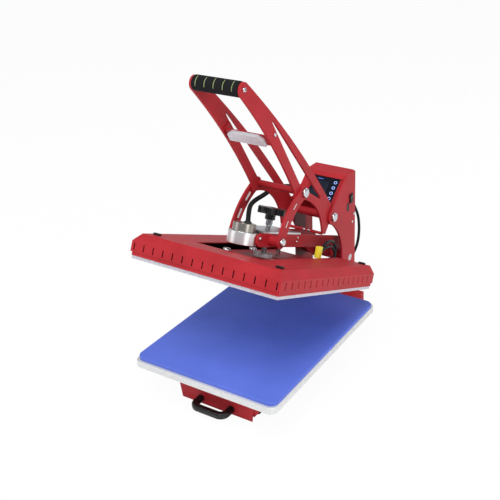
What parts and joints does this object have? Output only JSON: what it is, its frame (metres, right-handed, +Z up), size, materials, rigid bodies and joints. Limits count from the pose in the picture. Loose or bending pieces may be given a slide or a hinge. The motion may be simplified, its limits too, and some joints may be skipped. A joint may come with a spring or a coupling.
{
  "type": "flat heat press",
  "caption": "Clamshell heat press with folding handle, electromagnet hold, pressure screw, slotted heater cover and slide-out lower table.",
  "frame": {"origin": "on the floor, in the middle of the machine's box", "axes": "+X to the right of someone facing the drawer, -Y out of the drawer, +Z up"},
  "size_m": [0.408, 0.6676, 0.8046],
  "materials": {
    "aluminium": "milled",
    "black_plastic": "moulded",
    "chrome": "polished",
    "dark_paint": "black powder coat",
    "foam": "matte foam",
    "panel": "gloss",
    "red_paint": "powder coat, satin",
    "rubber": "matte",
    "silicone": "matte",
    "steel": "turned"
  },
  "bodies": {
    "frame": {"base_frame": "red_paint", "rubber_feet": "rubber", "drawer_rails": "steel", "column_left": "red_paint", "column_right": "red_paint", "foot_brackets": "red_paint", "column_brace": "red_paint", "heater_cable": "rubber", "control_box": "red_paint", "display_panel": "panel", "switch_bezel": "black_plastic", "lid_shaft": "chrome"},
    "drawer": {"drawer_sliders": "steel", "drawer_carriage": "steel", "front_panel": "red_paint", "drawer_pull": "black_plastic", "lower_table": "aluminium", "silicone_pad": "silicone"},
    "lid": {"beam_left": "red_paint", "beam_right": "red_paint", "lid_tube": "red_paint", "beam_bridge": "steel", "nut_block": "steel", "guide_bush": "black_plastic", "magnet_hose": "rubber", "link_spacer_left": "red_paint", "link_spacer_right": "red_paint", "magnet_body": "aluminium", "magnet_coil": "steel", "magnet_bracket": "red_paint"},
    "platen": {"heater_plate": "aluminium", "heat_shield": "dark_paint", "platen_cover": "red_paint", "mounting_plate": "red_paint", "standoffs": "steel", "screw_flange": "chrome", "dome_nuts": "chrome", "guide_rod": "chrome", "corner_caps": "black_plastic"},
    "screw": {"pressure_screw": "chrome", "knob": "black_plastic"},
    "handle": {"arm_left": "red_paint", "arm_right": "red_paint", "arm_bridge": "red_paint", "handle_shaft": "chrome", "handle_tube": "red_paint", "knee_bolts": "chrome", "grip_tube": "steel", "foam_grip": "foam", "spur_bar": "red_paint", "armature_plate": "steel", "armature_bracket": "red_paint"},
    "links": {"link_left": "red_paint", "link_right": "red_paint", "link_bolts": "chrome"},
    "rocker": {"rocker": "black_plastic"},
    "key_1": {"key_1": "panel"},
    "key_2": {"key_2": "panel"},
    "key_3": {"key_3": "panel"},
    "key_4": {"key_4": "panel"}
  },
  "joints": [
    {"name": "drawer_slide", "type": "slide", "parent": "frame", "child": "drawer", "axis": [0, -1, 0], "range_m": [0, 0.3]},
    {"name": "lid_hinge", "type": "hinge", "parent": "frame", "child": "lid", "pos_m": [0, 0.2744, 0.18], "axis": [1, 0, 0], "range_deg": [0, 24.01], "stiffness_Nm_per_rad": 150, "springref_deg": -91.67, "deforming": ["magnet_hose", "heater_cable"]},
    {"name": "platen_slide", "type": "slide", "parent": "lid", "child": "platen", "axis": [0, 0.4069, 0.9135], "range_m": [-0.0042, 0.014]},
    {"name": "knob_turn", "type": "hinge", "parent": "platen", "child": "screw", "pos_m": [0, -0.05904, 0.31347], "axis": [0, 0.4069, 0.9135], "range_deg": [-380, 1262]},
    {"name": "handle_hinge", "type": "hinge", "parent": "frame", "child": "handle", "pos_m": [0, 0.1776, 0.3456], "axis": [1, 0, 0], "range_deg": [0, 59.4]},
    {"name": "link_hinge", "type": "hinge", "parent": "handle", "child": "links", "pos_m": [0, 0.032, 0.4704], "axis": [1, 0, 0], "range_deg": [-70.95, 0]},
    {"name": "rocker_tilt", "type": "hinge", "parent": "frame", "child": "rocker", "pos_m": [0.0745, 0.2766, 0.363], "axis": [0, 1, 0], "range_deg": [-6, 6]},
    {"name": "key_1_press", "type": "slide", "parent": "frame", "child": "key_1", "axis": [0, 0.6401, -0.7683], "range_m": [0, 0.0006], "stiffness_N_per_m": 800},
    {"name": "key_2_press", "type": "slide", "parent": "frame", "child": "key_2", "axis": [0, 0.6401, -0.7683], "range_m": [0, 0.0006], "stiffness_N_per_m": 800},
    {"name": "key_3_press", "type": "slide", "parent": "frame", "child": "key_3", "axis": [0, 0.6401, -0.7683], "range_m": [0, 0.0006], "stiffness_N_per_m": 800},
    {"name": "key_4_press", "type": "slide", "parent": "frame", "child": "key_4", "axis": [0, 0.6401, -0.7683], "range_m": [0, 0.0006], "stiffness_N_per_m": 800}
  ],
  "couplings": [
    {"joint": "handle_hinge", "follows": "lid_hinge", "ratio": 2.4657},
    {"joint": "link_hinge", "follows": "lid_hinge", "ratio": -2.9467},
    {"joint": "knob_turn", "follows": "platen_slide", "rad_per_m": 1570.8}
  ]
}
